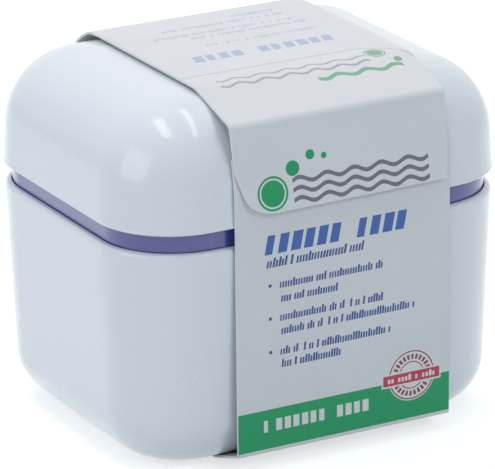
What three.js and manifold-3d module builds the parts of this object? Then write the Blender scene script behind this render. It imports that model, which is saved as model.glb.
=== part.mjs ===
// Denture bath: a tub and a hinged lid, a rinse basket between them, and a card sleeve folded round both.
// Millimetres. +X runs to the right, +Y to the rear hinge and +Z up.
// The origin lies on the resting face, midway between the case's sides.

import * as THREE from "three";
import { mergeVertices } from "three/addons/utils/BufferGeometryUtils.js";
import Module from "manifold-3d";

const wasm = await Module();
wasm.setup();

// Driving dimensions of the case
const CASE_WIDTH = 98.2;
const CASE_DEPTH = 80.4;
const PLAN_CORNER_RADIUS = 19.1;
const MIN_CORNER_RADIUS = 3;

// The tub: wall, draft and the rounding at its foot and rim
const TUB_HEIGHT = 52.3;
const TUB_WALL = 1.2;
const TUB_FLOOR = 1.8;
const TUB_DRAFT = 1.7;
const TUB_FOOT_RADIUS = 11.3;
const TUB_RIM_RADIUS = 0.8;
const LID_OVERHANG = 0.15;

// The blue band that shows between the tub's rim and the lid's edge
const BAND_HEIGHT = 4.7;

// The lid: a shallow crown on a large rounded shoulder
const LID_HEIGHT = 26.7;
const LID_WALL = 1.2;
const LID_DRAFT = 0.3;
const LID_SHOULDER_RADIUS = 18.4;
const LID_CROWN = 0.5;
const LID_EDGE_BEVEL = 0.4;
const REST_RIB_WIDTH = 1.2;
const REST_RIB_DEPTH = 1.6;
const REST_RIB_HEIGHT = 5;
const REST_RIB_SPREAD = 48;

// The rear hinge: two knuckles on the tub, one on the lid and a pin through all three
const PIN_RADIUS = 1.1;
const PIN_CLEARANCE = 0.2;
const PIN_OVERHANG = 0.4;
const KNUCKLE_RADIUS = 2.6;
const KNUCKLE_GAP = 0.4;
const HINGE_WALL_GAP = 0.35;
const TUB_KNUCKLE_LENGTH = 9;
const LID_KNUCKLE_LENGTH = 22;
const TUB_LUG_DROP = 12.5;
const LID_LUG_RISE = 7.5;
const LUG_STEP = 2.2;

// The rinse basket: a solid band on top of a slotted bowl on four feet
const FIT_GAP = 0.3;
const BASKET_WALL = 1.4;
const BASKET_LIP = 3;
const BAND_DROP = 7;
const BOWL_STEP = 1.8;
const BOWL_FLOOR_GAP = 6;
const BASKET_FLOOR = 1.4;
const FOOT_RADIUS = 2.6;
const FOOT_SPREAD_X = 52;
const FOOT_SPREAD_Y = 43;
const SLOT_WIDTH = 3;
const SLOT_PITCH = 6.6;
const WALL_SLOT_START = 9;
const WALL_SLOT_END = 2.7;
const SIDE_SLOT_SPAN = 34;
const FRONT_SLOT_SPAN = 50;
const FLOOR_SLOT_LENGTH = 16;
const FLOOR_SLOT_SPAN = 54;
const FLOOR_SLOT_SPREAD = 20;

// The basket's folding handle: a flat loop on two pivots
const HANDLE_STRAP = 3;
const HANDLE_THICKNESS = 2.4;
const HANDLE_SIDE_GAP = 2.2;
const HANDLE_FRONT_GAP = 3.2;
const HANDLE_CORNER_RADIUS = 12;
const HANDLE_HEEL = 3.2;
const PIVOT_RADIUS = 1.1;
const PIVOT_LENGTH = 2.4;
const PIVOT_DROP = 2.6;
const PIVOT_PAD_SIZE = 5;
const PIVOT_PAD_THICKNESS = 1.5;

// The card sleeve: one folded strip, creased at the corners and bowed out over the hinge
const CARD = 0.4;
const CARD_GAP = 0.3;
const SLEEVE_LEFT = 25.4;
const SLEEVE_RIGHT = 29.1;
const FRONT_PANEL_RISE = 7.5;
const FRONT_PANEL_LEAN_GAP = 0.9;
const BOTTOM_CREASE_HEIGHT = 3.5;
const BOTTOM_BEND_RUN = 11.7;
const TOP_BEND_RUN = 1.3;
const TOP_CREASE_INSET = 2;
const TOP_CREASE_DROP = 4.6;
const REAR_ROLL_GAP = 1.5;
const REAR_ROLL_START = 72;
const REAR_ROLL_END = 25;
const REAR_BEND_REACH = 5.5;
const FLAP_EDGE_RISE = 2.1;
const FLAP_CREASE_GAP = 0.6;
const FLAP_CORNER_WIDTH = 10;
const FLAP_CORNER_HEIGHT = 12;

// Facets of the round forms
const CORNER_STEPS = 6;
const SHOULDER_STEPS = 8;
const FOOT_STEPS = 6;
const ROUND_STEPS = 20;
const RIM_STEPS = 2;
const ROLL_STEPS = 5;

// How far a cutter runs past the face that it opens, and how deep a joined piece is rooted in its wall
const OVERRUN = 1;
const ROOT = 0.6;

// Heights worked out from the driving dimensions
const TUB_BASE = CARD + CARD_GAP;
const TUB_RIM = TUB_BASE + TUB_HEIGHT;
const LID_EDGE = TUB_RIM + BAND_HEIGHT;
const LID_TOP = LID_EDGE + LID_HEIGHT;
const LID_SHOULDER_TOP = LID_TOP - LID_CROWN;
const HINGE_Y = CASE_DEPTH / 2 + HINGE_WALL_GAP + KNUCKLE_RADIUS;
const HINGE_Z = LID_EDGE;
const BASKET_TOP = LID_EDGE + BASKET_LIP;
const LID_SKIRT = LID_SHOULDER_TOP - LID_SHOULDER_RADIUS - LID_EDGE;
const LIP_INSET = LID_WALL + (LID_DRAFT * BASKET_LIP) / LID_SKIRT;
const BASKET_INSET = Math.max(LID_OVERHANG + TUB_WALL, LIP_INSET) + FIT_GAP;
const BASKET_BASE = TUB_BASE + TUB_FLOOR + BOWL_FLOOR_GAP;
const PIVOT_Z = BASKET_TOP - PIVOT_DROP;

const whitePlastic = new THREE.MeshStandardMaterial({ color: 0xe9eef3, roughness: 0.22, metalness: 0 });
const bluePlastic = new THREE.MeshStandardMaterial({ color: 0x3c4a9c, roughness: 0.28, metalness: 0 });
const whiteCard = new THREE.MeshStandardMaterial({ color: 0xe6e9ee, roughness: 0.45, metalness: 0 });

// Turns a closed geometry into a solid that can be joined and cut
function toSolid(geometry) {
  const bare = geometry.clone();
  bare.deleteAttribute("normal");
  bare.deleteAttribute("uv");
  const merged = mergeVertices(bare);
  const vertProperties = new Float32Array(merged.attributes.position.array);
  const triVerts = new Uint32Array(merged.index.array);
  return new wasm.Manifold(new wasm.Mesh({ numProp: 3, vertProperties, triVerts }));
}

function toGeometry(solid) {
  const mesh = solid.getMesh();
  const geometry = new THREE.BufferGeometry();
  geometry.setAttribute("position", new THREE.BufferAttribute(new Float32Array(mesh.vertProperties), 3));
  geometry.setIndex(new THREE.BufferAttribute(new Uint32Array(mesh.triVerts), 1));
  geometry.computeVertexNormals();
  return geometry;
}

const joined = (parts) => parts.map(toSolid).reduce((whole, part) => whole.add(part));

const cutBy = (solid, cutters) => solid.subtract(joined(cutters));

function namedMesh(name, geometry, material) {
  const mesh = new THREE.Mesh(geometry, material);
  mesh.name = name;
  return mesh;
}

// The four corners of a plan, counterclockwise from the right rear
const CORNER_SIGNS = [[1, 1], [-1, 1], [-1, -1], [1, -1]];

// One level outline of the case, set in from its largest plan by an inset
function planRing({ inset, z }) {
  const halfX = CASE_WIDTH / 2 - inset;
  const halfY = CASE_DEPTH / 2 - inset;
  const radius = Math.max(PLAN_CORNER_RADIUS - inset, MIN_CORNER_RADIUS);
  return CORNER_SIGNS.flatMap(([signX, signY], quarter) =>
    Array.from({ length: CORNER_STEPS + 1 }, (_, step) => {
      const angle = (quarter + step / CORNER_STEPS) * (Math.PI / 2);
      const x = signX * (halfX - radius) + radius * Math.cos(angle);
      const y = signY * (halfY - radius) + radius * Math.sin(angle);
      return [x, y, z];
    }),
  );
}

// Closes a row of plan rings into one skin. The first ring is capped facing down and the last facing up.
function skin(profile, lastRise = 0) {
  const rings = profile.map(planRing);
  const size = rings[0].length;
  const points = rings.flat();
  const firstCentre = points.length;
  points.push([0, 0, profile[0].z]);
  const lastCentre = points.length;
  points.push([0, 0, profile.at(-1).z + lastRise]);
  const index = [];
  for (let ring = 0; ring + 1 < rings.length; ring += 1) {
    for (let at = 0; at < size; at += 1) {
      const a = ring * size + at;
      const b = ring * size + ((at + 1) % size);
      index.push(a, b, b + size, a, b + size, a + size);
    }
  }
  const lastRing = (rings.length - 1) * size;
  for (let at = 0; at < size; at += 1) {
    const next = (at + 1) % size;
    index.push(firstCentre, next, at);
    index.push(lastCentre, lastRing + at, lastRing + next);
  }
  const geometry = new THREE.BufferGeometry();
  geometry.setAttribute("position", new THREE.Float32BufferAttribute(points.flat(), 3));
  geometry.setIndex(index);
  return geometry;
}

// Points of an arc in the plane of inset and height, with 0 degrees out along the inset's growth
function profileArc(centreInset, centreZ, radius, fromDegrees, toDegrees, steps) {
  return Array.from({ length: steps + 1 }, (_, step) => {
    const angle = THREE.MathUtils.degToRad(fromDegrees + ((toDegrees - fromDegrees) * step) / steps);
    return { inset: centreInset + radius * Math.cos(angle), z: centreZ + radius * Math.sin(angle) };
  });
}

function box(sizeX, sizeY, sizeZ, x, y, z) {
  return new THREE.BoxGeometry(sizeX, sizeY, sizeZ).translate(x, y, z);
}

function rodAlongX(radius, fromX, toX, y, z) {
  const rod = new THREE.CylinderGeometry(radius, radius, toX - fromX, ROUND_STEPS);
  return rod.rotateZ(Math.PI / 2).translate((fromX + toX) / 2, y, z);
}

// Sweeps a shape drawn in Y and Z along X
function extrudeAlongX(shape, fromX, toX) {
  const geometry = new THREE.ExtrudeGeometry(shape, {
    depth: toX - fromX,
    bevelEnabled: false,
    curveSegments: ROUND_STEPS / 4,
  });
  const toRow = new THREE.Matrix4().makeBasis(
    new THREE.Vector3(0, 1, 0),
    new THREE.Vector3(0, 0, 1),
    new THREE.Vector3(1, 0, 0),
  );
  return geometry.applyMatrix4(toRow).translate(fromX, 0, 0);
}

// The outer side of the tub, from its foot up to its rounded rim
function tubOuterProfile() {
  const footInset = LID_OVERHANG + TUB_DRAFT;
  const footRadius = TUB_FOOT_RADIUS;
  const rimRadius = TUB_RIM_RADIUS;
  const foot = profileArc(footInset + footRadius, TUB_BASE + footRadius, footRadius, 270, 180, FOOT_STEPS);
  const rim = profileArc(LID_OVERHANG + rimRadius, TUB_RIM - rimRadius, rimRadius, 180, 90, RIM_STEPS);
  return [...foot, ...rim];
}

function tubInnerProfile() {
  const footInset = LID_OVERHANG + TUB_DRAFT + TUB_WALL;
  const radius = TUB_FOOT_RADIUS - TUB_WALL;
  const floor = TUB_BASE + TUB_FLOOR;
  const wall = [{ inset: LID_OVERHANG + TUB_WALL, z: TUB_RIM }];
  return [...wall, ...profileArc(footInset + radius, floor + radius, radius, 180, 270, FOOT_STEPS)];
}

// A knuckle with the lug that roots it in the rear wall. The lug leaves the wall between two heights.
function knuckleShape(rootY, stepZ, farZ) {
  const shape = new THREE.Shape();
  const side = Math.sign(farZ - HINGE_Z);
  const clearY = HINGE_Y - KNUCKLE_RADIUS;
  const reachY = rootY - HINGE_Y;
  const reachZ = farZ - HINGE_Z;
  const reach = Math.hypot(reachY, reachZ);
  const tangent = Math.atan2(reachZ, reachY) - side * Math.acos(KNUCKLE_RADIUS / reach);
  shape.moveTo(rootY, farZ);
  shape.lineTo(rootY, stepZ);
  shape.lineTo(clearY, stepZ);
  shape.absarc(HINGE_Y, HINGE_Z, KNUCKLE_RADIUS, Math.PI, tangent, side < 0);
  shape.closePath();
  return shape;
}

// The bore for the hinge pin runs past every knuckle
function hingeBore() {
  const reach = LID_KNUCKLE_LENGTH / 2 + KNUCKLE_GAP + TUB_KNUCKLE_LENGTH + OVERRUN;
  return rodAlongX(PIN_RADIUS + PIN_CLEARANCE, -reach, reach, HINGE_Y, HINGE_Z);
}

function tubShell() {
  const shell = skin([...tubOuterProfile(), ...tubInnerProfile()]);
  const rootY = CASE_DEPTH / 2 - LID_OVERHANG - ROOT;
  const shape = knuckleShape(rootY, TUB_RIM - TUB_RIM_RADIUS, HINGE_Z - TUB_LUG_DROP);
  const near = LID_KNUCKLE_LENGTH / 2 + KNUCKLE_GAP;
  const far = near + TUB_KNUCKLE_LENGTH;
  const lugs = [extrudeAlongX(shape, near, far), extrudeAlongX(shape, -far, -near)];
  return toGeometry(cutBy(joined([shell, ...lugs]), [hingeBore()]));
}

// The lid's side from its bevelled edge over the shoulder, at a depth below the outer surface
function lidProfile(depth) {
  const topInset = LID_DRAFT + LID_SHOULDER_RADIUS;
  const radius = LID_SHOULDER_RADIUS - depth;
  return profileArc(topInset, LID_SHOULDER_TOP - LID_SHOULDER_RADIUS, radius, 180, 90, SHOULDER_STEPS);
}

function lidShell() {
  const inside = lidProfile(LID_WALL).reverse();
  const edge = [
    { inset: LID_WALL, z: LID_EDGE },
    { inset: LID_EDGE_BEVEL, z: LID_EDGE },
    { inset: 0, z: LID_EDGE + LID_EDGE_BEVEL },
  ];
  const shell = skin([...inside, ...edge, ...lidProfile(0)], LID_CROWN);
  const lugShape = knuckleShape(CASE_DEPTH / 2 - ROOT, HINGE_Z + LUG_STEP, HINGE_Z + LID_LUG_RISE);
  const lug = extrudeAlongX(lugShape, -LID_KNUCKLE_LENGTH / 2, LID_KNUCKLE_LENGTH / 2);
  const ribY = -(CASE_DEPTH / 2 - LID_WALL - LID_DRAFT - REST_RIB_DEPTH / 2 + ROOT / 2);
  const ribZ = BASKET_TOP + FIT_GAP + REST_RIB_HEIGHT / 2;
  const ribs = [-1, 1].map((side) =>
    box(REST_RIB_WIDTH, REST_RIB_DEPTH + ROOT, REST_RIB_HEIGHT, (side * REST_RIB_SPREAD) / 2, ribY, ribZ),
  );
  return toGeometry(cutBy(joined([shell, lug, ...ribs]), [hingeBore()]));
}

function hingePin() {
  const reach = LID_KNUCKLE_LENGTH / 2 + KNUCKLE_GAP + TUB_KNUCKLE_LENGTH + PIN_OVERHANG;
  return rodAlongX(PIN_RADIUS, -reach, reach, HINGE_Y, HINGE_Z);
}

// The bowl below the band follows the tub's inside with a step that lets water round it
function basketProfile(depth, floorZ) {
  const bandFootInset = BASKET_INSET + depth + (TUB_DRAFT * BAND_DROP) / TUB_HEIGHT;
  const bandFoot = TUB_RIM - BAND_DROP + depth * (Math.SQRT2 - 1);
  const footInset = bandFootInset + BOWL_STEP + TUB_DRAFT;
  const radius = TUB_FOOT_RADIUS - TUB_WALL - depth;
  return [
    ...profileArc(footInset + radius, floorZ + radius, radius, 270, 180, FOOT_STEPS),
    { inset: bandFootInset + BOWL_STEP, z: bandFoot - BOWL_STEP },
    { inset: bandFootInset, z: bandFoot },
    { inset: BASKET_INSET + depth, z: BASKET_TOP },
  ];
}

const spread = (span, pitch) => {
  const count = Math.floor(span / pitch);
  return Array.from({ length: count + 1 }, (_, at) => (at - count / 2) * pitch);
};

function basketSlots() {
  const slotFoot = BASKET_BASE + WALL_SLOT_START;
  const slotHead = TUB_RIM - BAND_DROP - BOWL_STEP - WALL_SLOT_END;
  const slotHeight = slotHead - slotFoot;
  const slotZ = (slotFoot + slotHead) / 2;
  const acrossX = CASE_WIDTH + OVERRUN;
  const acrossY = CASE_DEPTH + OVERRUN;
  const floorDepth = BASKET_FLOOR + 2 * OVERRUN;
  const floorZ = BASKET_BASE + BASKET_FLOOR / 2;
  const slotsAlongY = spread(SIDE_SLOT_SPAN, SLOT_PITCH);
  const slotsAlongX = spread(FRONT_SLOT_SPAN, SLOT_PITCH);
  const floorPlaces = spread(FLOOR_SLOT_SPAN, SLOT_PITCH).flatMap((x) =>
    [-1, 1].map((side) => [x, (side * FLOOR_SLOT_SPREAD) / 2]),
  );
  const sides = slotsAlongY.map((y) => box(acrossX, SLOT_WIDTH, slotHeight, 0, y, slotZ));
  const fronts = slotsAlongX.map((x) => box(SLOT_WIDTH, acrossY, slotHeight, x, 0, slotZ));
  const floors = floorPlaces.map(([x, y]) => box(SLOT_WIDTH, FLOOR_SLOT_LENGTH, floorDepth, x, y, floorZ));
  return [...sides, ...fronts, ...floors];
}

function rinseBasket() {
  const outer = basketProfile(0, BASKET_BASE);
  const inner = basketProfile(BASKET_WALL, BASKET_BASE + BASKET_FLOOR).reverse();
  const shell = skin([...outer, ...inner]);
  const slotted = cutBy(toSolid(shell), basketSlots());

  const footHeight = BOWL_FLOOR_GAP - FIT_GAP + BASKET_FLOOR / 2;
  const footZ = BASKET_BASE + BASKET_FLOOR / 2 - footHeight / 2;
  const feet = CORNER_SIGNS.map(([signX, signY]) => {
    const foot = new THREE.CylinderGeometry(FOOT_RADIUS, FOOT_RADIUS, footHeight, ROUND_STEPS);
    foot.rotateX(Math.PI / 2);
    return foot.translate((signX * FOOT_SPREAD_X) / 2, (signY * FOOT_SPREAD_Y) / 2, footZ);
  });

  const wallX = CASE_WIDTH / 2 - BASKET_INSET - BASKET_WALL;
  const padX = wallX - PIVOT_PAD_THICKNESS / 2 + ROOT / 2;
  const pads = [-1, 1].map((side) =>
    box(PIVOT_PAD_THICKNESS + ROOT, PIVOT_PAD_SIZE, PIVOT_PAD_SIZE, side * padX, 0, PIVOT_Z),
  );
  const holeStart = wallX - PIVOT_PAD_THICKNESS - OVERRUN;
  const holeEnd = wallX - PIVOT_PAD_THICKNESS + PIVOT_LENGTH;
  const holes = [
    rodAlongX(PIVOT_RADIUS + PIN_CLEARANCE, holeStart, holeEnd, 0, PIVOT_Z),
    rodAlongX(PIVOT_RADIUS + PIN_CLEARANCE, -holeEnd, -holeStart, 0, PIVOT_Z),
  ];
  const whole = slotted.add(joined([...feet, ...pads]));
  return toGeometry(cutBy(whole, holes));
}

// The handle lies folded forwards, as a flat loop open at its pivots
function basketHandle() {
  const halfX = CASE_WIDTH / 2 - BASKET_INSET - BASKET_WALL - HANDLE_SIDE_GAP;
  const front = -(CASE_DEPTH / 2 - BASKET_INSET - BASKET_WALL - HANDLE_FRONT_GAP);
  const radius = HANDLE_CORNER_RADIUS;
  const innerRadius = radius - HANDLE_STRAP;
  const shape = new THREE.Shape();
  shape.moveTo(halfX, HANDLE_HEEL);
  shape.lineTo(halfX - HANDLE_STRAP, HANDLE_HEEL);
  shape.absarc(halfX - radius, front + radius, innerRadius, 0, -Math.PI / 2, true);
  shape.absarc(radius - halfX, front + radius, innerRadius, -Math.PI / 2, -Math.PI, true);
  shape.lineTo(HANDLE_STRAP - halfX, HANDLE_HEEL);
  shape.lineTo(-halfX, HANDLE_HEEL);
  shape.absarc(radius - halfX, front + radius, radius, Math.PI, 1.5 * Math.PI, false);
  shape.absarc(halfX - radius, front + radius, radius, -Math.PI / 2, 0, false);
  shape.closePath();
  const settings = { depth: HANDLE_THICKNESS, bevelEnabled: false, curveSegments: CORNER_STEPS };
  const strap = new THREE.ExtrudeGeometry(shape, settings).translate(0, 0, PIVOT_Z - HANDLE_THICKNESS / 2);
  const wallX = CASE_WIDTH / 2 - BASKET_INSET - BASKET_WALL;
  const tipX = wallX - PIVOT_PAD_THICKNESS + PIVOT_LENGTH - FIT_GAP;
  const pivots = [
    rodAlongX(PIVOT_RADIUS, halfX - ROOT, tipX, 0, PIVOT_Z),
    rodAlongX(PIVOT_RADIUS, -tipX, ROOT - halfX, 0, PIVOT_Z),
  ];
  return toGeometry(joined([strap, ...pivots]));
}

// Gives a folded line of card its thickness on the side away from the case, with mitred creases
function cardShape(inner) {
  const normals = inner.slice(1).map(([y, z], at) => {
    const along = new THREE.Vector2(y - inner[at][0], z - inner[at][1]).normalize();
    return new THREE.Vector2(along.y, -along.x);
  });
  const outer = inner.map(([y, z], at) => {
    const before = normals[Math.max(at - 1, 0)];
    const after = normals[Math.min(at, normals.length - 1)];
    const mitre = before.clone().add(after).multiplyScalar(CARD / (1 + before.dot(after)));
    return [y + mitre.x, z + mitre.y];
  });
  return new THREE.Shape([...inner, ...outer.reverse()].map(([y, z]) => new THREE.Vector2(y, z)));
}

const cardAlongX = (inner) => extrudeAlongX(cardShape(inner), -SLEEVE_LEFT, SLEEVE_RIGHT);

// Places that the card touches, as Y and Z on its inner face
const wallFrontY = -(CASE_DEPTH / 2 + CARD_GAP);
const shoulderY = CASE_DEPTH / 2 - LID_DRAFT - LID_SHOULDER_RADIUS;
const shoulderZ = LID_SHOULDER_TOP - LID_SHOULDER_RADIUS;
const plateauZ = LID_TOP + CARD_GAP;
const bottomBendY = -wallFrontY - BOTTOM_BEND_RUN;
const topBendY = shoulderY + TOP_BEND_RUN;
const topCreaseY = CASE_DEPTH / 2 - TOP_CREASE_INSET;
const flapBottom = LID_EDGE + FLAP_EDGE_RISE;
const rearBendY = HINGE_Y + KNUCKLE_RADIUS + CARD_GAP;
const onShoulder = (gap, degrees) => {
  const angle = THREE.MathUtils.degToRad(degrees);
  const radius = LID_SHOULDER_RADIUS + gap;
  return [shoulderY + radius * Math.cos(angle), shoulderZ + radius * Math.sin(angle)];
};

// The front panel's upper end leans in along the lid's shoulder, behind the flap
const frontPanelTop = shoulderZ + FRONT_PANEL_RISE;
const leanRadius = LID_SHOULDER_RADIUS + FRONT_PANEL_LEAN_GAP;
const leanY = shoulderY + Math.sqrt(leanRadius ** 2 - FRONT_PANEL_RISE ** 2);

function sleeveBody() {
  return cardAlongX([
    [-leanY, frontPanelTop],
    [wallFrontY, shoulderZ],
    [wallFrontY, TUB_BASE + BOTTOM_CREASE_HEIGHT],
    [-bottomBendY, CARD],
    [bottomBendY, CARD],
    [-wallFrontY, TUB_BASE + BOTTOM_CREASE_HEIGHT],
    [rearBendY, HINGE_Z - REAR_BEND_REACH],
  ]);
}

function sleeveRearBend() {
  const reach = REAR_BEND_REACH - CARD_GAP;
  return cardAlongX([[rearBendY, HINGE_Z - reach], [rearBendY, HINGE_Z + reach]]);
}

function sleeveTop() {
  const roll = Array.from({ length: ROLL_STEPS + 1 }, (_, step) =>
    onShoulder(REAR_ROLL_GAP, REAR_ROLL_END + ((REAR_ROLL_START - REAR_ROLL_END) * step) / ROLL_STEPS),
  );
  return cardAlongX([
    [rearBendY, HINGE_Z + REAR_BEND_REACH],
    ...roll,
    [topBendY, plateauZ],
    [-topBendY, plateauZ],
    [-topCreaseY, plateauZ - TOP_CREASE_DROP],
  ]);
}

// The flap hangs from the top front crease outside the front panel, with one large rounded corner
function sleeveFlap() {
  const outside = CARD + CARD_GAP;
  const flap = cardAlongX([
    [-topCreaseY, plateauZ - TOP_CREASE_DROP - FLAP_CREASE_GAP],
    [-leanY - outside, frontPanelTop],
    [wallFrontY - outside, shoulderZ],
    [wallFrontY - outside, flapBottom],
  ]);
  const corner = new THREE.Shape();
  const left = -SLEEVE_LEFT;
  corner.moveTo(left - OVERRUN, flapBottom - OVERRUN);
  corner.lineTo(left + FLAP_CORNER_WIDTH, flapBottom - OVERRUN);
  corner.lineTo(left + FLAP_CORNER_WIDTH, flapBottom);
  corner.absellipse(
    left + FLAP_CORNER_WIDTH, flapBottom + FLAP_CORNER_HEIGHT, FLAP_CORNER_WIDTH, FLAP_CORNER_HEIGHT,
    1.5 * Math.PI, Math.PI, true, 0,
  );
  corner.lineTo(left - OVERRUN, flapBottom + FLAP_CORNER_HEIGHT);
  corner.closePath();
  const depth = CASE_DEPTH / 2;
  const settings = { depth, bevelEnabled: false, curveSegments: ROUND_STEPS };
  const cutter = new THREE.ExtrudeGeometry(corner, settings);
  cutter.rotateX(Math.PI / 2).translate(0, -depth / 2, 0);
  return toGeometry(cutBy(toSolid(flap), [cutter]));
}

const dentureBath = new THREE.Group();
dentureBath.add(
  namedMesh("tub_shell", tubShell(), whitePlastic),
  namedMesh("hinge_pin", hingePin(), whitePlastic),
  namedMesh("lid_shell", lidShell(), whitePlastic),
  namedMesh("rinse_basket", rinseBasket(), bluePlastic),
  namedMesh("basket_handle", basketHandle(), bluePlastic),
  namedMesh("sleeve_body", sleeveBody(), whiteCard),
  namedMesh("sleeve_rear_bend", sleeveRearBend(), whiteCard),
  namedMesh("sleeve_top", sleeveTop(), whiteCard),
  namedMesh("sleeve_flap", sleeveFlap(), whiteCard),
);

export default dentureBath;
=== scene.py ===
"""Denture bath: a drafted tub, a domed hinged lid, a blue rinse basket and a printed card sleeve.

Lengths are in metres, apart from the card's print and the lines marked as millimetres.
"""
import math
from functools import partial

import bmesh
import bpy
from mathutils import Matrix, Vector


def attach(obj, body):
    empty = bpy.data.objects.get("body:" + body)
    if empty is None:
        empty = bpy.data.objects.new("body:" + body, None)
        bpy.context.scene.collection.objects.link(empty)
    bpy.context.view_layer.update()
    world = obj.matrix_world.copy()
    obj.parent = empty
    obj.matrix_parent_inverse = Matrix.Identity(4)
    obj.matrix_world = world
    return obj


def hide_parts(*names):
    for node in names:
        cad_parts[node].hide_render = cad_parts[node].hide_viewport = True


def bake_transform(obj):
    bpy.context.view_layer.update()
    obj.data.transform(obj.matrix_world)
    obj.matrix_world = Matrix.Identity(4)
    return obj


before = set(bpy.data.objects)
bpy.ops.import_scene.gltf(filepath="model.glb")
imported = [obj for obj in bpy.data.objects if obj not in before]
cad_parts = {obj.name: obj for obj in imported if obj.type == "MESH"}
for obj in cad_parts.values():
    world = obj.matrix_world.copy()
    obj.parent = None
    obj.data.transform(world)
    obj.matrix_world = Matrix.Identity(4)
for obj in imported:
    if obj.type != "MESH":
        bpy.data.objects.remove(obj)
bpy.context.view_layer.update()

MM = 0.001
CLOSE = 0.02 * MM        # how near a corner lies to the place where it is looked for
FACES_THAT_WAY = 0.9     # the least part of a face's normal that points one way
UP, DOWN = 1, -1

# The case's plan
WIDTH = 98.2 * MM
DEPTH = 80.4 * MM
CORNER = 19.1 * MM

# Tub
TUB_WALL = 1.4 * MM
TUB_BASE = 0.7 * MM
TUB_RIM = 53 * MM
TUB_INSET = 0.15 * MM
TUB_DRAFT = 1.7 * MM
TUB_FOOT = 11.3 * MM
TUB_FLOOR_RISE = 0.6 * MM
TUB_FLOOR_FACING = 0.99
TUB_RIM_ROUND = 1.2 * MM
TUB_RIM_SWELL = 0.13 * MM

# Lid. The crown's rings shrink to a share of the one before, and rise by so many millimetres
LID_WALL = 1.2 * MM
LID_EDGE = 57.7 * MM
LID_EDGE_ROUND = 0.4 * MM
LID_SHOULDER_TOP = 83.9 * MM
LID_SHOULDER = 18.4 * MM
LID_DRAFT = 0.3 * MM
LID_LIP = 0.25 * MM
LID_LIP_RISE = 0.6 * MM
LID_CROWN = ((0.9, 0.1), (0.85, 0.12), (0.8, 0.12), (0.7, 0.09), (0.5, 0.05), (0.3, 0.02))
REST_RIB = (1.2 * MM, 2.2 * MM, 5 * MM)
REST_RIB_X, REST_RIB_Y, REST_RIB_Z = 24 * MM, -37.95 * MM, 63.5 * MM

# Hinge. Each lug has the height of its step and of its far end, and shares of the knuckle's radius
HINGE_Y = 43.15 * MM
HINGE_Z = 57.7 * MM
KNUCKLE = 2.6 * MM
KNUCKLE_GAP = 0.4 * MM
LID_KNUCKLE = 22 * MM
TUB_KNUCKLE = 9 * MM
TUB_LUG = (52.2 * MM, 45.2 * MM)
LID_LUG = (59.9 * MM, 65.2 * MM)
LUG_ROOT = 0.6 * MM
LUG_ROUND = 0.35 * MM
LUG_TIP_OUT = 0.93
LUG_TIP_UP = 0.4
LUG_STEP_IN = 0.4
PIN = 1.1 * MM
PIN_PROUD = 0.4 * MM
PIN_ROUND = 0.3 * MM
PIN_BORE = 1.3 * MM
BORE_SPARE = 6 * MM

# Basket: a band on a slotted bowl with four feet
BASKET_WALL = 1.4 * MM
BASKET_TOP = 60.7 * MM
BASKET_BASE = 8.5 * MM
BASKET_INSET = 1.65 * MM
BASKET_RIM_ROUND = 0.45 * MM
BAND_FOOT = 46 * MM
BAND_TAPER = 0.23 * MM
BOWL_STEP = 1.8 * MM
BOWL_DRAFT = 1.7 * MM
BOWL_FOOT = 10.1 * MM
SLOT = 3 * MM
SLOT_ROUND = 1.45 * MM
SLOT_PITCH = 6.6 * MM
SIDE_SLOTS, FRONT_SLOTS, FLOOR_SLOTS = 6, 8, 9
WALL_SLOT_TALL = 24 * MM
WALL_SLOT_Z = 29.5 * MM
FLOOR_SLOT_LONG = 16 * MM
FLOOR_SLOT_DEEP = 6 * MM
FLOOR_SLOT_ROW = 10 * MM
FOOT = 2.6 * MM
FOOT_TALL = 6.4 * MM
FOOT_ROUND = 0.8 * MM
FOOT_X, FOOT_Y, FOOT_Z = 26 * MM, 21.5 * MM, 6 * MM

# Handle and its pivots
PAD = (2.1 * MM, 5 * MM, 5 * MM)
PAD_X = 45.1 * MM
PAD_ROUND = 0.9 * MM
PIVOT_X = 44.75 * MM
PIVOT_Z = 58.1 * MM
PIVOT_LONG = 3.6 * MM
PIVOT_ROUND = 0.25 * MM
PIVOT_HOLE_LONG = 3.4 * MM
HANDLE_SIDE = 43.85 * MM
HANDLE_FRONT = -33.95 * MM
HANDLE_HEEL = 3.2 * MM
HANDLE_TURN = 10.5 * MM
HANDLE_WIDE = 3 * MM
HANDLE_THICK = 2.4 * MM
HANDLE_ROUND = 0.8 * MM
DOUBLES = 0.001 * MM

# Card sleeve. Lines run along the card's inside, as y and z, and bends pair a point with a radius
SLEEVE_LEFT = 25.4 * MM
SLEEVE_RIGHT = 29.1 * MM
SLEEVE_CORE_Z = 42 * MM
CARD = 0.5 * MM
CARD_COLUMNS = 18
BEND_FACET = math.radians(9)
CUT_FACING = 0.3
PRINT_FACING = 0.35
REAR_PANEL_Y = 30 * MM
PRINT, CUT_EDGE, BACK, REAR_PRINT = range(4)
BODY_LINE_MM = (
    (-39.28, 73), (-40.5, 65.5), (-40.5, 4.2), (-28.8, 0.5), (28.8, 0.5), (40.5, 4.2),
    (46.05, 52.5),
)
BODY_BENDS_MM = ((1, 30), (2, 0.7), (3, 14), (4, 14), (5, 0.7))

# The strip behind the hinge, and the roof that rolls over the lid's rear shoulder
REAR_Y = 46.05 * MM
BEND_FOOT = HINGE_Z - 5.2 * MM
BEND_HEAD = HINGE_Z + 5.2 * MM
BEND_STEPS = 14
SHOULDER_Y = 21.5 * MM
SHOULDER_Z = 65.5 * MM
ROLL_GAP = 1.5 * MM
ROLL_FROM, ROLL_TO = 25, 72
ROLL_STEPS = 12
ROOF_Y = 22.8 * MM
ROOF_Z = 84.7 * MM
ROOF_BENDS_MM = ((1, 6), (ROLL_STEPS + 2, 10), (ROLL_STEPS + 3, 9))

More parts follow.
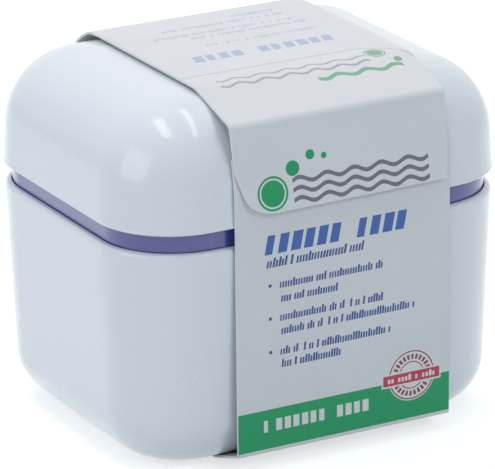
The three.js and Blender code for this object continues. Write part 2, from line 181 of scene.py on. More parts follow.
# Flap. Its outline is seen from the front, as x and z
CREASE = (-38.35 * MM, 80.1 * MM)
CREASE_HEAD = (-36.24 * MM, 80.72 * MM)
FLAP_LINE_MM = ((-39.98, 73), (-41.3, 65.5), (-42.5, 59.6))
FLAP_BENDS_MM = ((1, 1.8), (2, 30), (3, 30))
FLAP_OUTLINE_MM = (
    (-25.5, 70.7), (-23.6, 65.0), (-23.15, 63.85), (-22.6, 62.99), (-22.02, 62.25),
    (-21.25, 61.7), (-20.4, 61.26), (-19.5, 60.9), (-18.4, 60.6), (-17.3, 60.42),
    (-15.8, 60.35), (27.85, 60.9), (28.3, 70.0), (29.15, 78.5),
)
FLAP_CUT = 0.0001 * MM


# ---------------------------------------------------------------- modelling by hand

def select_only(piece):
    bpy.ops.object.select_all(action="DESELECT")
    piece.select_set(True)
    bpy.context.view_layer.objects.active = piece


def settle(name, size=None):
    """Names the new primitive and puts its place and size into its mesh."""
    piece = bpy.context.object
    select_only(piece)
    if size:
        piece.scale = size
    piece.name = name
    piece.data.name = name
    bpy.ops.object.transform_apply(location=True, rotation=True, scale=True)
    return piece


def block(name, size, centre):
    bpy.ops.object.select_all(action="DESELECT")
    bpy.ops.mesh.primitive_cube_add(size=1, location=centre, scale=size)
    return settle(name)


def rod(name, radius, length, centre, upright=False, sides=48):
    """A rod that lies across the case, or stands upright."""
    turn = (0, 0, 0) if upright else (0, math.pi / 2, 0)
    bpy.ops.object.select_all(action="DESELECT")
    bpy.ops.mesh.primitive_cylinder_add(
        vertices=sides, radius=radius, depth=length, location=centre, rotation=turn
    )
    return settle(name)


def edit(piece, kind):
    select_only(piece)
    bpy.ops.object.mode_set(mode="EDIT")
    bpy.ops.mesh.select_mode(type=kind)
    bpy.ops.mesh.select_all(action="DESELECT")


def leave():
    bpy.ops.object.mode_set(mode="OBJECT")


def pick_faces(test):
    mesh = bpy.context.object.data
    shape = bmesh.from_edit_mesh(mesh)
    for face in shape.faces:
        face.select_set(False)
    for face in shape.faces:
        if test(face.calc_center_median(), face.normal):
            face.select_set(True)
    bmesh.update_edit_mesh(mesh)


def pick_edges(test):
    mesh = bpy.context.object.data
    shape = bmesh.from_edit_mesh(mesh)
    for edge in shape.edges:
        edge.select_set(False)
    for edge in shape.edges:
        if test(*(corner.co for corner in edge.verts)):
            edge.select_set(True)
    bmesh.update_edit_mesh(mesh)


def pick_corners(test):
    mesh = bpy.context.object.data
    shape = bmesh.from_edit_mesh(mesh)
    for corner in shape.verts:
        corner.select_set(test(corner.co))
    shape.select_flush(True)
    bmesh.update_edit_mesh(mesh)


def round_edges(width, test, segments):
    """Bevels the edges that the test picks."""
    pick_edges(test)
    bpy.ops.mesh.bevel(
        offset=width, offset_type="OFFSET", segments=segments, affect="EDGES", clamp_overlap=False
    )


def round_ends(piece, width):
    """Rounds both ends of a rod that lies across."""
    edit(piece, "EDGE")
    round_edges(width, lambda a, b: abs(a.x - b.x) < CLOSE, segments=3)
    leave()


def round_along(piece, axis, width, segments):
    """Rounds the four long edges of a block, which run along one axis."""
    edit(piece, "EDGE")
    round_edges(width, lambda a, b: abs(a[axis] - b[axis]) > MM, segments)
    leave()


def take_off_face(side):
    """Deletes the face that looks up or down."""
    bpy.ops.mesh.select_mode(type="FACE")
    pick_faces(lambda at, facing: side * facing.z > FACES_THAT_WAY)
    bpy.ops.mesh.delete(type="FACE")


def add_level(height):
    """Cuts one more ring of corners into a wall."""
    bpy.ops.mesh.select_all(action="SELECT")
    bpy.ops.mesh.bisect(plane_co=(0, 0, height), plane_no=(0, 0, 1))


def apply(piece, kind, **settings):
    select_only(piece)
    modifier = piece.modifiers.new(kind.lower(), kind)
    for name, value in settings.items():
        setattr(modifier, name, value)
    bpy.ops.object.modifier_apply(modifier=modifier.name)


def thicken(piece, wall):
    apply(piece, "SOLIDIFY", thickness=wall, offset=-1, use_even_offset=True)


def carve(piece, cutter, operation="DIFFERENCE"):
    """Cuts or joins one solid with another, which is used up."""
    apply(piece, "BOOLEAN", object=cutter, operation=operation, solver="EXACT")
    bpy.data.objects.remove(cutter)


def copy_of(piece, shift):
    twin = piece.copy()
    twin.data = piece.data.copy()
    twin.data.transform(Matrix.Translation(shift))
    bpy.context.collection.objects.link(twin)
    return twin


def polish(piece, angle=35):
    """Smooth shading that keeps flat faces flat."""
    select_only(piece)
    bpy.ops.object.shade_smooth_by_angle(angle=math.radians(angle))
    apply(piece, "WEIGHTED_NORMAL", mode="FACE_AREA", keep_sharp=True, weight=80)


# ---------------------------------------------------------------- tub and lid

def both_at(height):
    return lambda a, b: abs(a.z - height) < CLOSE and abs(b.z - height) < CLOSE


def on_outside(at, half_depth):
    """Whether a point of a plan lies outside the plan of that half depth."""
    corner = CORNER - (DEPTH / 2 - half_depth)
    half_width = WIDTH / 2 - (DEPTH / 2 - half_depth)
    over_x = max(abs(at.x) - (half_width - corner), 0)
    over_y = max(abs(at.y) - (half_depth - corner), 0)
    return math.hypot(over_x, over_y) > corner


def outer_rim(height, half_depth):
    """Picks the edges of one level that lie outside the plan of that half depth."""
    level = both_at(height)
    return lambda a, b: level(a, b) and on_outside(a, half_depth) and on_outside(b, half_depth)


def rounded_box(name, inset, base, top, steps):
    """A block of the case's plan with upright edges rounded, left in edit mode."""
    size = (WIDTH - 2 * inset, DEPTH - 2 * inset, top - base)
    piece = block(name, size, (0, 0, (base + top) / 2))
    edit(piece, "EDGE")
    round_edges(CORNER - inset, lambda a, b: abs(a.z - b.z) > CLOSE, steps)
    return piece


def widen_level(height, inset_now, inset_then):
    """Scales one level of the case from one inset to another."""
    pick_corners(lambda at: abs(at.z - height) < CLOSE)
    grow = [(size / 2 - inset_then) / (size / 2 - inset_now) for size in (WIDTH, DEPTH)]
    bpy.ops.transform.resize(value=(grow[0], grow[1], 1), center_override=(0, 0, height))


def lug(name, length, centre_x, root_y, step_z, far_z):
    """A knuckle with the web that roots it in the rear wall."""
    side = 1 if far_z > HINGE_Z else -1
    middle_y, middle_z = (root_y + HINGE_Y) / 2, (far_z + step_z) / 2
    size = (length, HINGE_Y - root_y, abs(far_z - step_z))
    web = block(name, size, (centre_x, middle_y, middle_z))
    edit(web, "VERT")
    pick_corners(lambda at: at.y > middle_y and (at.z - middle_z) * side > 0)
    tip_z = HINGE_Z + side * KNUCKLE * LUG_TIP_UP
    bpy.ops.transform.translate(value=(0, KNUCKLE * LUG_TIP_OUT, tip_z - far_z))
    pick_corners(lambda at: abs(at.y - HINGE_Y) < CLOSE)
    bpy.ops.transform.translate(value=(0, -KNUCKLE * LUG_STEP_IN, HINGE_Z - step_z))
    bpy.ops.mesh.select_mode(type="EDGE")
    round_edges(LUG_ROUND, lambda a, b: True, segments=3)
    leave()
    eye = rod("eye", KNUCKLE, length, (centre_x, HINGE_Y, HINGE_Z))
    round_ends(eye, LUG_ROUND)
    carve(web, eye, "UNION")
    return web


def hinge_bore():
    length = LID_KNUCKLE + 2 * TUB_KNUCKLE + BORE_SPARE
    return rod("bore", PIN_BORE, length, (0, HINGE_Y, HINGE_Z))


def make_tub():
    tub = rounded_box("tub", TUB_INSET, TUB_BASE, TUB_RIM, steps=16)
    take_off_face(UP)
    bpy.ops.mesh.select_mode(type="VERT")
    widen_level(TUB_BASE, TUB_INSET, TUB_INSET + TUB_DRAFT)
    bpy.ops.mesh.select_mode(type="EDGE")
    round_edges(TUB_FOOT, both_at(TUB_BASE), segments=14)
    leave()
    thicken(tub, TUB_WALL)

    # The floor is raised in the middle, and the rim is rounded outside and swells a little inwards
    edit(tub, "FACE")
    floor_head = TUB_BASE + 2 * TUB_WALL
    pick_faces(lambda at, facing: facing.z > TUB_FLOOR_FACING and at.z < floor_head)
    bpy.ops.transform.translate(value=(0, 0, TUB_FLOOR_RISE))
    bpy.ops.mesh.select_mode(type="EDGE")
    outer = DEPTH / 2 - TUB_INSET
    round_edges(TUB_RIM_ROUND, outer_rim(TUB_RIM, outer - TUB_WALL / 2), segments=6)
    bpy.ops.mesh.select_mode(type="VERT")
    inner_y = outer - TUB_WALL
    inner_x = inner_y + (WIDTH - DEPTH) / 2
    pick_corners(lambda at: abs(at.z - TUB_RIM) < CLOSE and not on_outside(at, inner_y + CLOSE))
    swell = (1 - TUB_RIM_SWELL / inner_x, 1 - TUB_RIM_SWELL / inner_y, 1)
    bpy.ops.transform.resize(value=swell, center_override=(0, 0, TUB_RIM))
    leave()

    reach = (LID_KNUCKLE + TUB_KNUCKLE) / 2 + KNUCKLE_GAP
    for side in (-1, 1):
        piece = lug("tub_lug", TUB_KNUCKLE, side * reach, outer - LUG_ROOT, *TUB_LUG)
        carve(tub, piece, "UNION")
    carve(tub, hinge_bore())
    polish(tub)
    return tub


def make_lid():
    lid = rounded_box("lid", LID_DRAFT, LID_EDGE, LID_SHOULDER_TOP, steps=18)
    round_edges(LID_SHOULDER, both_at(LID_SHOULDER_TOP), segments=18)
    take_off_face(DOWN)
    pick_faces(lambda at, facing: facing.z > FACES_THAT_WAY and at.xy.length < MM)
    for share, rise in LID_CROWN:
        bpy.ops.mesh.extrude_region_move(TRANSFORM_OT_translate={"value": (0, 0, rise * MM)})
        bpy.ops.transform.resize(value=(share, share, 1))
    bpy.ops.mesh.select_mode(type="VERT")
    add_level(LID_EDGE + LID_LIP_RISE)
    widen_level(LID_EDGE + LID_LIP_RISE, LID_DRAFT, 0)
    widen_level(LID_EDGE, LID_DRAFT, -LID_LIP)
    leave()
    thicken(lid, LID_WALL)
    edit(lid, "EDGE")
    round_edges(LID_EDGE_ROUND, outer_rim(LID_EDGE, DEPTH / 2 - LID_WALL / 2), segments=3)
    leave()

    carve(lid, lug("lid_lug", LID_KNUCKLE, 0, DEPTH / 2 - LUG_ROOT, *LID_LUG), "UNION")
    for side in (-1, 1):
        rib = block("rib", REST_RIB, (side * REST_RIB_X, REST_RIB_Y, REST_RIB_Z))
        carve(lid, rib, "UNION")
    carve(lid, hinge_bore())
    polish(lid)
    return lid


def make_pin():
    length = LID_KNUCKLE + 2 * (KNUCKLE_GAP + TUB_KNUCKLE + PIN_PROUD)
    pin = rod("hinge_rod", PIN, length, (0, HINGE_Y, HINGE_Z), sides=32)
    round_ends(pin, PIN_ROUND)
    polish(pin)
    return pin


# ---------------------------------------------------------------- basket and handle

def slots_about_middle(count):
    return [(at - (count - 1) / 2) * SLOT_PITCH for at in range(count)]


def slot_cutters():
    """Round-ended slots for the bowl's walls and floor, each modelled once and copied."""
    across = block("slot", (WIDTH, SLOT, WALL_SLOT_TALL), (0, 0, WALL_SLOT_Z))
    along = block("slot", (SLOT, DEPTH, WALL_SLOT_TALL), (0, 0, WALL_SLOT_Z))
    down = block("slot", (SLOT, FLOOR_SLOT_LONG, FLOOR_SLOT_DEEP), (0, 0, BASKET_BASE))
    for axis, first in enumerate((across, along, down)):
        round_along(first, axis, SLOT_ROUND, segments=6)
    cutters = [copy_of(across, (0, y, 0)) for y in slots_about_middle(SIDE_SLOTS)]
    cutters += [copy_of(along, (x, 0, 0)) for x in slots_about_middle(FRONT_SLOTS)]
    for x in slots_about_middle(FLOOR_SLOTS):
        cutters += [copy_of(down, (x, row * FLOOR_SLOT_ROW, 0)) for row in (-1, 1)]
    for first in (across, along, down):
        bpy.data.objects.remove(first)
    return cutters


def basket_foot(side_x, side_y):
    place = (side_x * FOOT_X, side_y * FOOT_Y, FOOT_Z)
    foot = rod("foot", FOOT, FOOT_TALL, place, upright=True, sides=32)
    edit(foot, "EDGE")
    round_edges(FOOT_ROUND, both_at(FOOT_Z - FOOT_TALL / 2), segments=4)
    leave()
    return foot


def make_basket():
    basket = rounded_box("basket", BASKET_INSET, BASKET_BASE, BASKET_TOP, steps=14)
    take_off_face(UP)
    bpy.ops.mesh.select_mode(type="VERT")
    for level in (BAND_FOOT, BAND_FOOT - BOWL_STEP):
        add_level(level)
    inset = BASKET_INSET + BAND_TAPER
    widen_level(BAND_FOOT, BASKET_INSET, inset)
    widen_level(BAND_FOOT - BOWL_STEP, BASKET_INSET, inset + BOWL_STEP)
    widen_level(BASKET_BASE, BASKET_INSET, inset + BOWL_STEP + BOWL_DRAFT)
    bpy.ops.mesh.select_mode(type="EDGE")
    round_edges(BOWL_FOOT, both_at(BASKET_BASE), segments=10)
    leave()
    thicken(basket, BASKET_WALL)
    edit(basket, "EDGE")
    round_edges(BASKET_RIM_ROUND, both_at(BASKET_TOP), segments=3)
    leave()
    for cutter in slot_cutters():
        carve(basket, cutter)

    for side in (-1, 1):
        for side_y in (-1, 1):
            carve(basket, basket_foot(side, side_y), "UNION")
        pad = block("pad", PAD, (side * PAD_X, 0, PIVOT_Z))
        round_along(pad, 0, PAD_ROUND, segments=4)
        carve(basket, pad, "UNION")
        place = (side * PIVOT_X, 0, PIVOT_Z)
        carve(basket, rod("hole", PIN_BORE, PIVOT_HOLE_LONG, place, sides=32))
    polish(basket, angle=40)
    return basket


def make_handle():
    """A flat loop swept from a rounded section, with a pivot at each end."""
    half = HANDLE_SIDE - HANDLE_WIDE / 2
    front = HANDLE_FRONT + HANDLE_WIDE / 2
    bpy.ops.object.select_all(action="DESELECT")
    bpy.ops.mesh.primitive_plane_add(
        size=1, location=(half, HANDLE_HEEL, PIVOT_Z), rotation=(math.pi / 2, 0, 0)
    )
    handle = settle("handle", (HANDLE_WIDE, HANDLE_THICK, 1))
    edit(handle, "VERT")
    bpy.ops.mesh.select_all(action="SELECT")
    bpy.ops.mesh.bevel(offset=HANDLE_ROUND, segments=4, affect="VERTICES", clamp_overlap=False)
    bpy.ops.mesh.select_mode(type="FACE")
    bpy.ops.mesh.select_all(action="SELECT")

    def run(shift):
        bpy.ops.mesh.extrude_region_move(TRANSFORM_OT_translate={"value": shift})

    def bend(centre):
        bpy.ops.mesh.spin(steps=12, angle=math.pi / 2, center=centre, axis=(0, 0, 1))

    run((0, front + HANDLE_TURN - HANDLE_HEEL, 0))
    bend((half - HANDLE_TURN, front + HANDLE_TURN, PIVOT_Z))
    run((2 * (HANDLE_TURN - half), 0, 0))
    bend((HANDLE_TURN - half, front + HANDLE_TURN, PIVOT_Z))
    run((0, HANDLE_HEEL - front - HANDLE_TURN, 0))
    bpy.ops.mesh.select_all(action="SELECT")
    bpy.ops.mesh.remove_doubles(threshold=DOUBLES)
    bpy.ops.mesh.normals_make_consistent(inside=False)
    leave()
    for side in (-1, 1):
        pivot = rod("pivot", PIN, PIVOT_LONG, (side * PIVOT_X, 0, PIVOT_Z), sides=32)
        round_ends(pivot, PIVOT_ROUND)
        carve(handle, pivot, "UNION")
    polish(handle, angle=40)
    return handle


# ---------------------------------------------------------------- card sleeve

def metres(points):
    return [(a * MM, b * MM) for a, b in points]


def outside_of(line):
    """The line moved out by the card's thickness, with mitred corners."""
    sides = [Vector((b[1] - a[1], a[0] - b[0])).normalized() for a, b in zip(line, line[1:])]
    moved = []
    for at, (y, z) in enumerate(line):
        before, after = sides[max(at - 1, 0)], sides[min(at, len(sides) - 1)]
        mitre = (before + after) * (CARD / (1 + before.dot(after)))
        moved.append((y + mitre.x, z + mitre.y))
    return moved


def fold_at(y, z):
    """Picks the edges along one fold of the card."""
    return lambda a, b: all(math.hypot(end.y - y, end.z - z) < CLOSE for end in (a, b))


def fold_card(name, line, bends=()):
    """Folds a strip of card along its outer line and rounds its bends."""
    (y0, z0), (y1, z1) = line[:2]
    bpy.ops.object.select_all(action="DESELECT")
    bpy.ops.mesh.primitive_grid_add(
        x_subdivisions=CARD_COLUMNS, y_subdivisions=1, size=1,
        location=((SLEEVE_RIGHT - SLEEVE_LEFT) / 2, (y0 + y1) / 2, (z0 + z1) / 2),
        rotation=(math.atan2(z1 - z0, y1 - y0), 0, 0),
    )
    card = settle(name, (SLEEVE_LEFT + SLEEVE_RIGHT, math.hypot(y1 - y0, z1 - z0), 1))
    edit(card, "EDGE")
    pick_edges(fold_at(y1, z1))
    for (ya, za), (yb, zb) in zip(line[1:], line[2:]):
        shift = (0, yb - ya, zb - za)
        bpy.ops.mesh.extrude_region_move(TRANSFORM_OT_translate={"value": shift})
    for point, radius in bends:
        (ya, za), (yb, zb), (yc, zc) = line[point - 1:point + 2]
        turn = math.atan2(zc - zb, yc - yb) - math.atan2(zb - za, yb - ya)
        turn = abs(math.remainder(turn, math.tau))
        segments = max(3, round(turn / BEND_FACET))
        round_edges(radius * MM * math.tan(turn / 2), fold_at(yb, zb), segments)
    leave()
    return card


def from_core(at):
    """The way out of the sleeve from the middle of its section."""
    return at - Vector((at.x, 0, SLEEVE_CORE_Z))


def card_side(face, rear_differs):
    """Which of the card's materials a face takes."""
    if abs(face.normal.x) > CUT_FACING:
        return CUT_EDGE
    if face.normal.dot(from_core(face.center).normalized()) <= PRINT_FACING:
        return BACK
    return REAR_PRINT if rear_differs and face.center.y >= REAR_PANEL_Y else PRINT


def finish_card(card, materials, lying=False):
    """Gives the card its thickness, its materials, and a map in metres for the print."""
    edit(card, "FACE")
    pick_faces(lambda at, facing: facing.dot(from_core(at)) < 0)
    bpy.ops.mesh.flip_normals()
    leave()
    thicken(card, CARD)
    for material in materials:
        card.data.materials.append(material)
    for face in card.data.polygons:
        face.material_index = card_side(face, rear_differs=len(materials) > REAR_PRINT)
    flat = card.data.uv_layers.new(name="print")
    for loop in card.data.loops:
        at = card.data.vertices[loop.vertex_index].co
        flat.data[loop.index].uv = (at.x, -at.y if lying else at.z)
    polish(card, angle=40)


def over_shoulder(degrees):
    """A point of the roof where it rolls over the lid's rear shoulder."""
    angle = math.radians(degrees)
    radius = LID_SHOULDER + ROLL_GAP
    return SHOULDER_Y + radius * math.cos(angle), SHOULDER_Z + radius * math.sin(angle)


def make_sleeve_body(materials):
    card = fold_card("sleeve_panels", outside_of(metres(BODY_LINE_MM)), BODY_BENDS_MM)
    finish_card(card, materials)
    return card


def make_sleeve_bend(materials):
    rise = BEND_HEAD - BEND_FOOT
    heights = [BEND_FOOT + rise * at / BEND_STEPS for at in range(BEND_STEPS + 1)]
    card = fold_card("sleeve_bend_strip", [(REAR_Y + CARD, z) for z in heights])
    finish_card(card, materials)
    return card


def make_sleeve_top(materials):
    turn = ROLL_TO - ROLL_FROM
    roll = [over_shoulder(ROLL_FROM + turn * at / ROLL_STEPS) for at in range(ROLL_STEPS + 1)]
    inner = [(REAR_Y, BEND_HEAD), *roll, (ROOF_Y, ROOF_Z), (-ROOF_Y, ROOF_Z), CREASE_HEAD]
    card = fold_card("sleeve_roof", outside_of(inner), ROOF_BENDS_MM)
    finish_card(card, materials, lying=True)
    return card


def make_sleeve_flap(materials):
    """The flap hangs from the crease and is trimmed to its outline, side by side."""
    line = outside_of([CREASE_HEAD, CREASE, *metres(FLAP_LINE_MM)])
    card = fold_card("sleeve_front_flap", line, FLAP_BENDS_MM)
    edit(card, "VERT")
    for (xa, za), (xb, zb) in zip(FLAP_OUTLINE_MM, FLAP_OUTLINE_MM[1:]):
        bpy.ops.mesh.select_all(action="SELECT")
        corner, outward = (xa * MM, 0, za * MM), Vector((zb - za, 0, xa - xb)).normalized()
        bpy.ops.mesh.bisect(
            plane_co=corner, plane_no=outward, clear_outer=True, threshold=FLAP_CUT
        )
    leave()
    finish_card(card, materials)
    return card


# ---------------------------------------------------------------- node building

def put(tree, socket, source):
    """Links a socket, or sets a plain value."""
    if isinstance(source, bpy.types.NodeSocket):
        tree.links.new(source, socket)
    else:
        socket.default_value = source


def add(tree, kind, feeds=(), **settings):
    """Adds a node with its settings. Feeds pair an input's name or number with its source."""
    node = tree.nodes.new(kind)
    for name, value in settings.items():
        setattr(node, name, value)
    for name, source in dict(feeds).items():
        put(tree, node.inputs[name], source)
    return node


def calc(tree, operation, *sources):
    return add(tree, "ShaderNodeMath", enumerate(sources), operation=operation).outputs[0]


def minus(tree, whole, part):
    return calc(tree, "SUBTRACT", whole, part)


def times(tree, one, other):
    return calc(tree, "MULTIPLY", one, other)


def above(tree, high, low):
    """1 where the first is above the second."""
    return calc(tree, "GREATER_THAN", high, low)


def most(tree, masks):
    whole = masks[0]
    for mask in masks[1:]:
        whole = calc(tree, "MAXIMUM", whole, mask)
    return whole


def least(tree, *sources):
    whole = sources[0]
    for source in sources[1:]:
        whole = calc(tree, "MINIMUM", whole, source)
    return whole


def noise(tree, place, scale, detail):
    feeds = {"Vector": place, "Scale": scale, "Detail": detail}
    return add(tree, "ShaderNodeTexNoise", feeds).outputs["Fac"]


def mapped(tree, place, **feeds):
    """A place turned by Rotation, or drawn out by Scale."""
    return add(tree, "ShaderNodeMapping", {"Vector": place, **feeds}).outputs[0]


def between(tree, source, low, high):
    """0 below the low end, 1 above the high end."""
    feeds = {"Value": source, "From Min": low, "From Max": high}
    return add(tree, "ShaderNodeMapRange", feeds).outputs[0]


def blend_colour(tree, share, below, above_it):
    mix = add(tree, "ShaderNodeMix", data_type="RGBA")
    for number, source in ((0, share), (6, below), (7, above_it)):
        put(tree, mix.inputs[number], source)
    return mix.outputs[2]


def group_tree(name, takes, gives):
    """A node group. Takes pair an input's name with its number, or with None for a vector."""
    tree = bpy.data.node_groups.new(name, "ShaderNodeTree")
    for label, value in takes:
        kind = "NodeSocketVector" if value is None else "NodeSocketFloat"
        socket = tree.interface.new_socket(name=label, in_out="INPUT", socket_type=kind)
        if value is not None:
            socket.default_value = value
    for label in gives:
        tree.interface.new_socket(name=label, in_out="OUTPUT", socket_type="NodeSocketFloat")
    inside, outside = tree.nodes.new("NodeGroupInput"), tree.nodes.new("NodeGroupOutput")
    return tree, inside.outputs, outside.inputs


def use(tree, group, feeds):
    return add(tree, "ShaderNodeGroup", feeds, node_tree=group).outputs


def across_and_up(tree, place):
    parts = add(tree, "ShaderNodeSeparateXYZ", {0: place}).outputs
    return parts[0], parts[1]


# ---------------------------------------------------------------- shared effects

GRAIN_SHARE = 0.12
HAIRLINES = ((0.5, 40.0), (1.9, 55.0), (2.7, 30.0))
HAIRLINE_TILT = 0.7
FIBRE_STRETCH = (1, 3.5, 3.5)
FIBRE_SHARE = 0.35
MOTTLE_HEIGHT = 2.0
DASH_LEAST, DASH_VARIES = 0.58, 0.2
FIRST_DASHES = 1.5
LOW_DASHES = 0.66
RAY_SHARE = 0.56


def moulded_skin():
    """Slow flow of tone and a faint unevenness, as on moulded plastic."""
    tree, takes, gives = group_tree(
        "moulded_skin", [("Place", None), ("Flow", 30.0), ("Grain", 900.0)], ["Tone", "Height"]
    )
    flow = noise(tree, takes["Place"], takes["Flow"], detail=2.0)
    grain = noise(tree, takes["Place"], takes["Grain"], detail=3.0)
    put(tree, gives["Tone"], flow)
    put(tree, gives["Height"], calc(tree, "MULTIPLY_ADD", grain, GRAIN_SHARE, flow))
    return tree


def wear_and_glint_marks():
    """Hairline scratches and small scuffs, only where a patchy mask lets them through. Their paler
    colour is partly wear and partly a painted highlight for the glints of a shrink film's wrinkles.
    """
    tree, takes, gives = group_tree(
        "wear_and_glint_marks", [("Place", None), ("Scale", 90.0), ("Amount", 0.5)], ["Lines", "Scuffs"]
    )
    place = takes["Place"]
    lines = []
    for turn, stretch in HAIRLINES:
        turned = mapped(tree, place, Rotation=(turn, HAIRLINE_TILT * turn, turn))
        drawn = mapped(tree, turned, Scale=(1, stretch, stretch))
        streak = noise(tree, drawn, takes["Scale"], detail=0.0)
        lines.append(between(tree, streak, low=0.72, high=0.76))
    patch = between(tree, noise(tree, place, scale=55.0, detail=2.0), low=0.55, high=0.68)
    seen = times(tree, patch, takes["Amount"])
    put(tree, gives["Lines"], times(tree, most(tree, lines), seen))
    speck = between(tree, noise(tree, place, scale=420.0, detail=4.0), low=0.58, high=0.75)
    put(tree, gives["Scuffs"], times(tree, speck, seen))
    return tree


def card_fibre():
    """Fine fibres and a slow mottle, as in coated board."""
    tree, takes, gives = group_tree("card_fibre", [("Place", None)], ["Tone", "Height"])
    drawn = mapped(tree, takes["Place"], Scale=FIBRE_STRETCH)
    fibre = noise(tree, drawn, scale=700.0, detail=3.0)
    mottle = noise(tree, takes["Place"], scale=60.0, detail=3.0)
    put(tree, gives["Tone"], calc(tree, "MULTIPLY_ADD", fibre, FIBRE_SHARE, mottle))
    put(tree, gives["Height"], calc(tree, "MULTIPLY_ADD", mottle, MOTTLE_HEIGHT, fibre))
    return tree


def print_dashes():
    """A row of slanted dashes of two heights, broken into runs, between two ends."""
    tree, takes, gives = group_tree("print_dashes", [
        ("Place", None), ("Left", 0.0), ("Right", 10.0), ("Foot", 0.0), ("Tall", 1.5),
        ("Pitch", 1.0), ("Slant", 0.2), ("Seed", 0.0), ("Breaks", 0.17), ("Uneven", 0.27),
    ], ["Mask"])
    u, v = across_and_up(tree, takes["Place"])
    rise = minus(tree, v, takes["Foot"])
    along = minus(tree, minus(tree, u, takes["Left"]), times(tree, rise, takes["Slant"]))
    step = calc(tree, "DIVIDE", along, takes["Pitch"])
    number = calc(tree, "FLOOR", step)
    seed = calc(tree, "ADD", number, takes["Seed"])
    throw = add(tree, "ShaderNodeTexWhiteNoise", {"W": seed}, noise_dimensions="1D")
    chance = throw.outputs["Value"]
    inked = calc(tree, "MULTIPLY_ADD", chance, DASH_VARIES, DASH_LEAST)
    solid = above(tree, inked, calc(tree, "FRACT", step))
    kept = most(tree, [above(tree, chance, takes["Breaks"]), above(tree, FIRST_DASHES, number)])
    lower = times(tree, above(tree, LOW_DASHES, chance), takes["Uneven"])
    under = minus(tree, times(tree, takes["Tall"], minus(tree, 1.0, lower)), rise)
    before = minus(tree, minus(tree, takes["Right"], takes["Left"]), along)
    inside = above(tree, least(tree, along, before, rise, under), 0.0)
    put(tree, gives["Mask"], least(tree, inside, solid, kept))
    return tree


def print_box():
    """A plain bar."""
    tree, takes, gives = group_tree("print_box", [
        ("Place", None), ("Left", 0.0), ("Right", 1.0), ("Foot", 0.0), ("Head", 1.0),
    ], ["Mask"])
    u, v = across_and_up(tree, takes["Place"])
    across = (minus(tree, u, takes["Left"]), minus(tree, takes["Right"], u))
    up = (minus(tree, v, takes["Foot"]), minus(tree, takes["Head"], v))
    put(tree, gives["Mask"], above(tree, least(tree, *across, *up), 0.0))
    return tree


def print_ring():
    """A disc, or a ring where the inner radius isn't zero. Notches cut it into rays."""
    tree, takes, gives = group_tree("print_ring", [
        ("Place", None), ("Across", 0.0), ("Up", 0.0), ("Inner", 0.0), ("Outer", 1.0),
        ("Notches", 0.0),
    ], ["Mask"])
    u, v = across_and_up(tree, takes["Place"])
    x = minus(tree, u, takes["Across"])
    y = minus(tree, v, takes["Up"])
    radius = calc(tree, "SQRT", calc(tree, "ADD", times(tree, x, x), times(tree, y, y)))
    ring = least(tree, above(tree, radius, takes["Inner"]), above(tree, takes["Outer"], radius))
    turns = calc(tree, "DIVIDE", calc(tree, "ARCTAN2", y, x), math.tau)
    ray = calc(tree, "FRACT", times(tree, turns, takes["Notches"]))
    put(tree, gives["Mask"], least(tree, ring, above(tree, RAY_SHARE, ray)))
    return tree


def print_wave():
    """One wavy line of even width."""
    tree, takes, gives = group_tree("print_wave", [
        ("Place", None), ("Left", 0.0), ("Right", 1.0), ("Level", 0.0), ("Swing", 0.5),
        ("Length", 6.0), ("Width", 0.8),
    ], ["Mask"])
    u, v = across_and_up(tree, takes["Place"])
    start = minus(tree, u, takes["Left"])
    angle = calc(tree, "DIVIDE", times(tree, start, math.tau), takes["Length"])
    line = calc(tree, "MULTIPLY_ADD", calc(tree, "SINE", angle), takes["Swing"], takes["Level"])
    off = calc(tree, "ABSOLUTE", minus(tree, v, line))
    near = minus(tree, times(tree, takes["Width"], 0.5), off)
    ends = least(tree, start, minus(tree, takes["Right"], u))
    put(tree, gives["Mask"], above(tree, least(tree, near, ends), 0.0))
    return tree


SKIN = moulded_skin()
MARKS = wear_and_glint_marks()
FIBRE = card_fibre()
DASHES = print_dashes()
BOX = print_box()
RING = print_ring()
WAVE = print_wave()


# ---------------------------------------------------------------- the card's print, in millimetres

INK_COVER = 0.98
BLUE_INK = (0.045, 0.10, 0.33, 1)
TITLE_INK = (0.07, 0.16, 0.50, 1)
GREEN_INK = (0.012, 0.37, 0.135, 1)
GREY_INK = (0.20, 0.20, 0.22, 1)
RED_INK = (0.58, 0.06, 0.095, 1)
MAROON_INK = (0.30, 0.05, 0.075, 1)
SKY_INK = (0.10, 0.30, 0.66, 1)
PALE_INK = (0.84, 0.85, 0.86, 1)
CARD_WHITE = (0.80, 0.81, 0.84, 1)

# Discs and rings, as across, up, inner and outer radius
FLAP_BUBBLES = (
    (-16.6, 64.6, 0, 2.9), (-16.6, 64.6, 3.3, 3.8), (-11.2, 69.3, 0, 1.7), (-6.6, 71.6, 0, 1.1),
    (-3.2, 70.9, 0, 0.7),
)
TOP_BUBBLES = ((21.4, 20.9, 0, 1.9), (21.4, 20.9, 2.2, 2.55), (24.9, 25.4, 0, 1.0))
FRONT_DOTS = ((-17.0, 43.0, 0, 0.42), (-17.0, 35.3, 0, 0.42), (-17.0, 27.4, 0, 0.42))
SEAL_AT = (19.2, 15.0)
SEAL_RIMS = ((*SEAL_AT, 5.55, 5.85), (*SEAL_AT, 3.05, 3.3))

